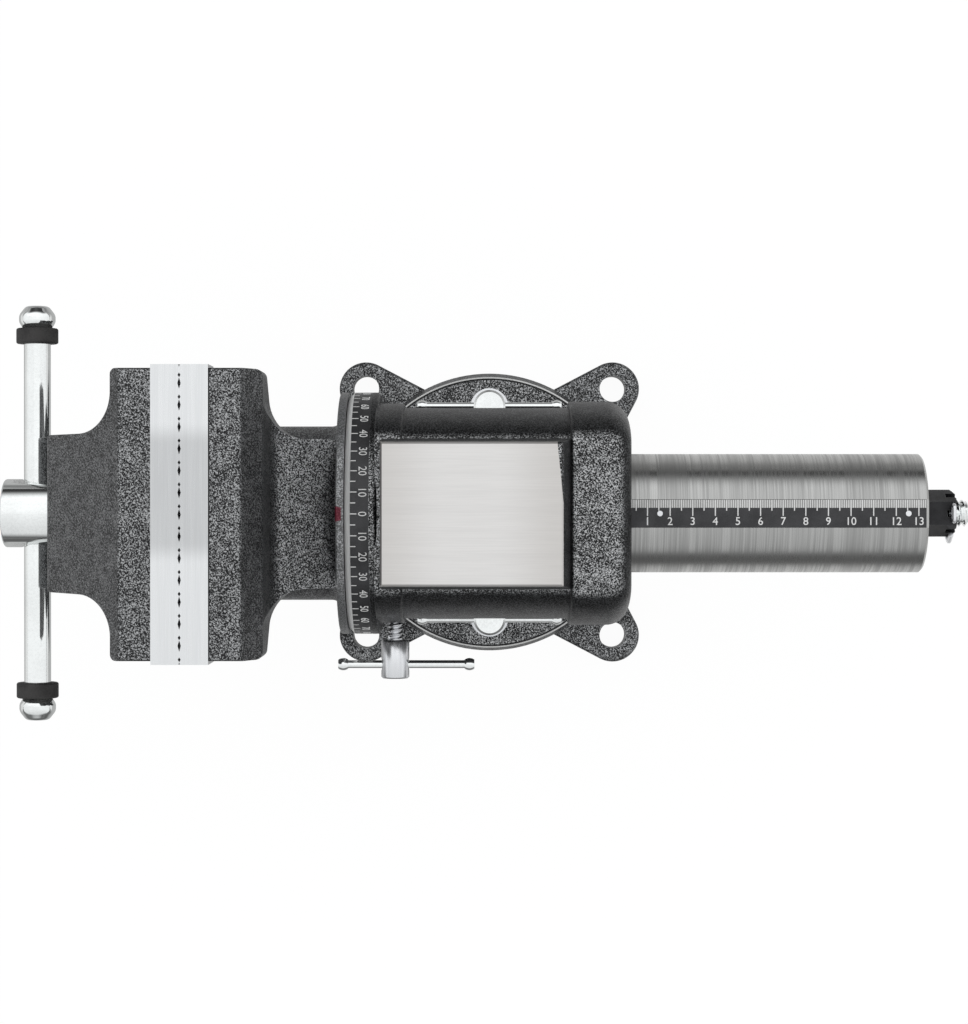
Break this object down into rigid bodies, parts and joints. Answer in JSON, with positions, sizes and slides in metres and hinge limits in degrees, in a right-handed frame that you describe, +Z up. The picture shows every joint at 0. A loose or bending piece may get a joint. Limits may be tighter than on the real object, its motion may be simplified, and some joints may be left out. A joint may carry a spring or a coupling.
{
  "type": "bench vise",
  "caption": "Bench vise on a round swivel base, with a head that turns about the spindle against a degree dial, flat and pipe jaws, an anvil and a round bar with a ruler.",
  "frame": {"origin": "swivel axis at the underside of the base", "axes": "+Z up along the swivel axis; +X along the spindle, from the jaws to the bar's rear end"},
  "size_m": [0.4359, 0.187, 0.2],
  "materials": {
    "cast_paint": "charcoal hammertone enamel on a grey iron casting, anvil face ground bare",
    "ground_steel": "surface ground",
    "hard_steel": "machined and hardened",
    "turned_steel": "turned",
    "plain_steel": "turned",
    "chrome": "bright plated",
    "black_steel": "black oxide",
    "zinc_steel": "zinc plated",
    "scale_black": "black anodised, white marks",
    "rubber": "matt",
    "brass": "turned"
  },
  "bodies": {
    "base": {"swivel_base": "cast_paint"},
    "swivel_body": {"body_casting": "cast_paint", "angle_dial": "scale_black", "brake_shoe": "brass", "pivot_bolt": "plain_steel", "pivot_washer": "plain_steel", "swivel_bolts": "black_steel", "swivel_washers": "zinc_steel"},
    "head": {"rear_jaw": "cast_paint", "rear_jaw_plate": "ground_steel", "rear_plate_screws": "black_steel", "rear_pipe_jaw": "hard_steel", "rear_pipe_screws": "black_steel", "spindle_nut": "turned_steel", "spindle_nut_screw": "black_steel", "retaining_ring": "plain_steel", "retaining_screws": "black_steel"},
    "front_slide": {"front_jaw": "cast_paint", "front_jaw_plate": "ground_steel", "front_plate_screws": "black_steel", "front_pipe_jaw": "hard_steel", "front_pipe_screws": "black_steel", "slide_bar": "turned_steel", "bar_pins": "plain_steel", "bar_end_bush": "plain_steel", "bush_pins": "plain_steel", "ruler": "scale_black", "ruler_rivets": "zinc_steel", "thrust_washer": "plain_steel"},
    "screw": {"spindle": "chrome", "tail_washer": "plain_steel", "castle_nut": "black_steel", "split_pin": "zinc_steel"},
    "handle": {"handle_rod": "chrome", "handle_knobs": "chrome", "handle_rubbers": "rubber"},
    "head_lock": {"head_lock_bolt": "chrome"},
    "head_lock_tommy": {"head_lock_bar": "chrome", "head_lock_bar_balls": "chrome"},
    "left_lock": {"swivel_nut_left": "chrome"},
    "left_lock_tommy": {"swivel_bar_left": "chrome", "swivel_bar_balls_left": "chrome"},
    "right_lock": {"swivel_nut_right": "chrome"},
    "right_lock_tommy": {"swivel_bar_right": "chrome", "swivel_bar_balls_right": "chrome"}
  },
  "joints": [
    {"name": "swivel", "type": "hinge", "parent": "base", "child": "swivel_body", "pos_m": [0, 0, 0], "axis": [0, 0, 1], "continuous": true},
    {"name": "head_turn", "type": "hinge", "parent": "swivel_body", "child": "head", "pos_m": [0, 0, 0.105], "axis": [1, 0, 0], "continuous": true},
    {"name": "jaw_slide", "type": "slide", "parent": "head", "child": "front_slide", "axis": [-1, 0, 0], "range_m": [0, 0.125]},
    {"name": "spindle_turn", "type": "hinge", "parent": "front_slide", "child": "screw", "pos_m": [0, 0, 0.105], "axis": [-1, 0, 0], "range_deg": [0, 9000]},
    {"name": "handle_slide", "type": "slide", "parent": "screw", "child": "handle", "axis": [0, 1, 0], "range_m": [-0.06, 0.06]},
    {"name": "head_lock_turn", "type": "hinge", "parent": "swivel_body", "child": "head_lock", "pos_m": [-0.0427, 0, 0.105], "axis": [0, -1, 0], "range_deg": [0, 270]},
    {"name": "head_lock_bar_slide", "type": "slide", "parent": "head_lock", "child": "head_lock_tommy", "axis": [1, 0, 0], "range_m": [-0.024, 0.014]},
    {"name": "left_lock_turn", "type": "hinge", "parent": "swivel_body", "child": "left_lock", "pos_m": [0, 0.05, 0], "axis": [0, 0, 1], "range_deg": [-12, 12]},
    {"name": "left_lock_bar_slide", "type": "slide", "parent": "left_lock", "child": "left_lock_tommy", "axis": [1, 0, 0], "range_m": [-0.021, 0.021]},
    {"name": "right_lock_turn", "type": "hinge", "parent": "swivel_body", "child": "right_lock", "pos_m": [0, -0.05, 0], "axis": [0, 0, 1], "range_deg": [-12, 12]},
    {"name": "right_lock_bar_slide", "type": "slide", "parent": "right_lock", "child": "right_lock_tommy", "axis": [1, 0, 0], "range_m": [-0.021, 0.021]}
  ],
  "couplings": [
    {"joint": "spindle_turn", "follows": "jaw_slide", "rad_per_m": 1256.6}
  ]
}
